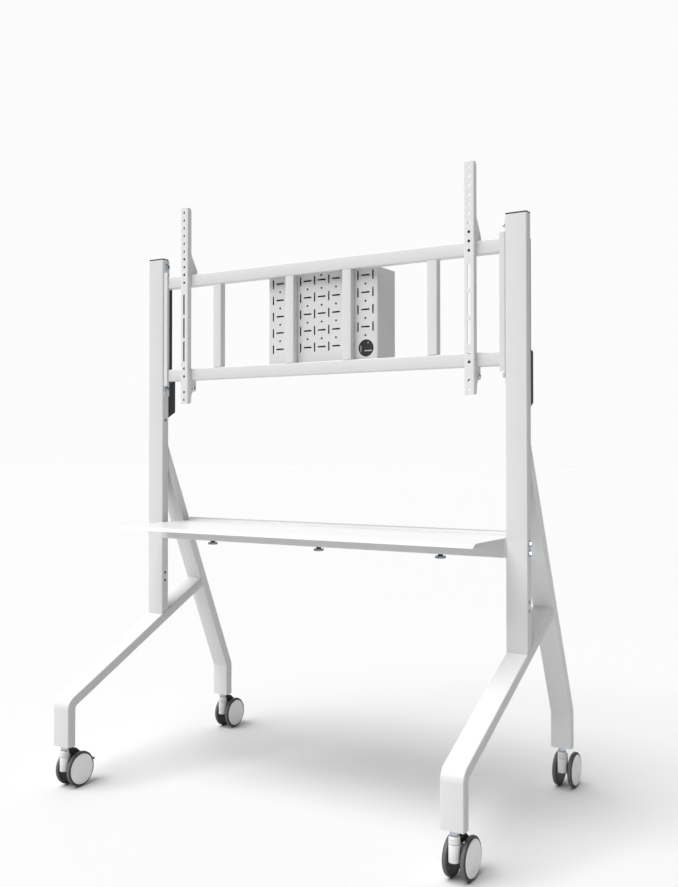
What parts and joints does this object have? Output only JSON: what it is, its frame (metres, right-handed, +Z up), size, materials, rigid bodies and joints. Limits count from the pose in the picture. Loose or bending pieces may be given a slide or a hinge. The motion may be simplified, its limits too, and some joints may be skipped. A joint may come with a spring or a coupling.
{
  "type": "rolling screen cart",
  "caption": "Wheeled stand with two columns on splayed legs, a drilled bracket frame for a large flat screen, a shelf, a closed media box and swivelling braked casters.",
  "frame": {"origin": "on the floor, in the middle of the cart's footprint", "axes": "+X to the right as seen from the front, +Y to the back, +Z up"},
  "size_m": [1.32, 0.8734, 1.7633],
  "materials": {
    "white_powder_coat": "fine matt powder coat",
    "black_plastic": "matt",
    "zinc_plated_steel": "bright zinc plate",
    "grey_tyre": "satin grey"
  },
  "bodies": {
    "base": {"left_column": "white_powder_coat", "right_column": "white_powder_coat", "left_column_cap": "black_plastic", "right_column_cap": "black_plastic", "left_cable_channel": "black_plastic", "right_cable_channel": "black_plastic", "left_front_leg": "white_powder_coat", "right_front_leg": "white_powder_coat", "left_rear_leg": "white_powder_coat", "right_rear_leg": "white_powder_coat", "shelf_bolt_left_upper": "zinc_plated_steel", "shelf_bolt_left_lower": "zinc_plated_steel", "shelf_bolt_right_upper": "zinc_plated_steel", "shelf_bolt_right_lower": "zinc_plated_steel", "caster_stem_front_left": "zinc_plated_steel", "caster_stem_front_right": "zinc_plated_steel", "caster_stem_rear_left": "zinc_plated_steel", "caster_stem_rear_right": "zinc_plated_steel"},
    "screen_frame": {"frame_top_rail": "white_powder_coat", "frame_bottom_rail": "white_powder_coat", "frame_strut_1": "white_powder_coat", "frame_strut_2": "white_powder_coat", "frame_strut_3": "white_powder_coat", "frame_strut_4": "white_powder_coat", "frame_end_left": "white_powder_coat", "frame_end_right": "white_powder_coat", "frame_bolt_left_upper": "zinc_plated_steel", "frame_bolt_left_lower": "zinc_plated_steel", "frame_bolt_right_upper": "zinc_plated_steel", "frame_bolt_right_lower": "zinc_plated_steel", "box_front_panel": "white_powder_coat", "box_shell": "white_powder_coat", "cable_grommet": "black_plastic"},
    "bracket_left": {"screen_bracket_left": "white_powder_coat", "bracket_screw_left": "zinc_plated_steel"},
    "bracket_right": {"screen_bracket_right": "white_powder_coat", "bracket_screw_right": "zinc_plated_steel"},
    "box_door": {"box_door": "white_powder_coat"},
    "box_lock": {"box_lock": "zinc_plated_steel"},
    "shelf": {"shelf_crossbar": "white_powder_coat", "shelf_tray": "white_powder_coat"},
    "tray_knob_1": {"tray_knob_1": "zinc_plated_steel"},
    "tray_knob_2": {"tray_knob_2": "zinc_plated_steel"},
    "tray_knob_3": {"tray_knob_3": "zinc_plated_steel"},
    "caster_front_left": {"caster_body_front_left": "white_powder_coat"},
    "wheel_front_left_outer": {"wheel_front_left_outer": "grey_tyre"},
    "wheel_front_left_inner": {"wheel_front_left_inner": "grey_tyre"},
    "brake_front_left": {"brake_pedal_front_left": "black_plastic"},
    "caster_front_right": {"caster_body_front_right": "white_powder_coat"},
    "wheel_front_right_outer": {"wheel_front_right_outer": "grey_tyre"},
    "wheel_front_right_inner": {"wheel_front_right_inner": "grey_tyre"},
    "brake_front_right": {"brake_pedal_front_right": "black_plastic"},
    "caster_rear_left": {"caster_body_rear_left": "white_powder_coat"},
    "wheel_rear_left_outer": {"wheel_rear_left_outer": "grey_tyre"},
    "wheel_rear_left_inner": {"wheel_rear_left_inner": "grey_tyre"},
    "brake_rear_left": {"brake_pedal_rear_left": "black_plastic"},
    "caster_rear_right": {"caster_body_rear_right": "white_powder_coat"},
    "wheel_rear_right_outer": {"wheel_rear_right_outer": "grey_tyre"},
    "wheel_rear_right_inner": {"wheel_rear_right_inner": "grey_tyre"}
  },
  "joints": [
    {"name": "frame_height", "type": "slide", "parent": "base", "child": "screen_frame", "axis": [0, 0, 1], "range_m": [-0.1, 0]},
    {"name": "bracket_left_slide", "type": "slide", "parent": "screen_frame", "child": "bracket_left", "axis": [1, 0, 0], "range_m": [-0.055, 0.27]},
    {"name": "bracket_right_slide", "type": "slide", "parent": "screen_frame", "child": "bracket_right", "axis": [1, 0, 0], "range_m": [-0.27, 0.055]},
    {"name": "box_door_hinge", "type": "hinge", "parent": "screen_frame", "child": "box_door", "pos_m": [-0.19, 0.10555, 1.384], "axis": [0, 0, 1], "range_deg": [0, 110]},
    {"name": "box_lock_turn", "type": "hinge", "parent": "box_door", "child": "box_lock", "pos_m": [0.16, 0.10555, 1.384], "axis": [0, 1, 0], "range_deg": [0, 90]},
    {"name": "shelf_height", "type": "slide", "parent": "base", "child": "shelf", "axis": [0, 0, 1], "range_m": [-0.15, 0]},
    {"name": "tray_knob_1_turn", "type": "hinge", "parent": "shelf", "child": "tray_knob_1", "pos_m": [-0.396, -0.01675, 0.7029], "axis": [0, 0, 1], "continuous": true},
    {"name": "tray_knob_2_turn", "type": "hinge", "parent": "shelf", "child": "tray_knob_2", "pos_m": [0, -0.01675, 0.7029], "axis": [0, 0, 1], "continuous": true},
    {"name": "tray_knob_3_turn", "type": "hinge", "parent": "shelf", "child": "tray_knob_3", "pos_m": [0.396, -0.01675, 0.7029], "axis": [0, 0, 1], "continuous": true},
    {"name": "caster_front_left_swivel", "type": "hinge", "parent": "base", "child": "caster_front_left", "pos_m": [-0.6225, -0.42175, 0], "axis": [0, 0, 1], "continuous": true},
    {"name": "wheel_front_left_outer_spin", "type": "hinge", "parent": "caster_front_left", "child": "wheel_front_left_outer", "pos_m": [-0.6225, -0.38075, 0.0508], "axis": [1, 0, 0], "continuous": true},
    {"name": "wheel_front_left_inner_spin", "type": "hinge", "parent": "caster_front_left", "child": "wheel_front_left_inner", "pos_m": [-0.6225, -0.38075, 0.0508], "axis": [1, 0, 0], "continuous": true},
    {"name": "brake_front_left_press", "type": "hinge", "parent": "caster_front_left", "child": "brake_front_left", "pos_m": [-0.6225, -0.39075, 0.094], "axis": [1, 0, 0], "range_deg": [-12, 0]},
    {"name": "caster_front_right_swivel", "type": "hinge", "parent": "base", "child": "caster_front_right", "pos_m": [0.6225, -0.42175, 0], "axis": [0, 0, 1], "continuous": true},
    {"name": "wheel_front_right_outer_spin", "type": "hinge", "parent": "caster_front_right", "child": "wheel_front_right_outer", "pos_m": [0.6225, -0.38075, 0.0508], "axis": [1, 0, 0], "continuous": true},
    {"name": "wheel_front_right_inner_spin", "type": "hinge", "parent": "caster_front_right", "child": "wheel_front_right_inner", "pos_m": [0.6225, -0.38075, 0.0508], "axis": [1, 0, 0], "continuous": true},
    {"name": "brake_front_right_press", "type": "hinge", "parent": "caster_front_right", "child": "brake_front_right", "pos_m": [0.6225, -0.39075, 0.094], "axis": [1, 0, 0], "range_deg": [-12, 0]},
    {"name": "caster_rear_left_swivel", "type": "hinge", "parent": "base", "child": "caster_rear_left", "pos_m": [-0.6225, 0.32475, 0], "axis": [0, 0, 1], "continuous": true},
    {"name": "wheel_rear_left_outer_spin", "type": "hinge", "parent": "caster_rear_left", "child": "wheel_rear_left_outer", "pos_m": [-0.6225, 0.36575, 0.0508], "axis": [1, 0, 0], "continuous": true},
    {"name": "wheel_rear_left_inner_spin", "type": "hinge", "parent": "caster_rear_left", "child": "wheel_rear_left_inner", "pos_m": [-0.6225, 0.36575, 0.0508], "axis": [1, 0, 0], "continuous": true},
    {"name": "brake_rear_left_press", "type": "hinge", "parent": "caster_rear_left", "child": "brake_rear_left", "pos_m": [-0.6225, 0.35575, 0.094], "axis": [1, 0, 0], "range_deg": [-12, 0]},
    {"name": "caster_rear_right_swivel", "type": "hinge", "parent": "base", "child": "caster_rear_right", "pos_m": [0.6225, 0.32475, 0], "axis": [0, 0, 1], "continuous": true},
    {"name": "wheel_rear_right_outer_spin", "type": "hinge", "parent": "caster_rear_right", "child": "wheel_rear_right_outer", "pos_m": [0.6225, 0.36575, 0.0508], "axis": [1, 0, 0], "continuous": true},
    {"name": "wheel_rear_right_inner_spin", "type": "hinge", "parent": "caster_rear_right", "child": "wheel_rear_right_inner", "pos_m": [0.6225, 0.36575, 0.0508], "axis": [1, 0, 0], "continuous": true}
  ]
}
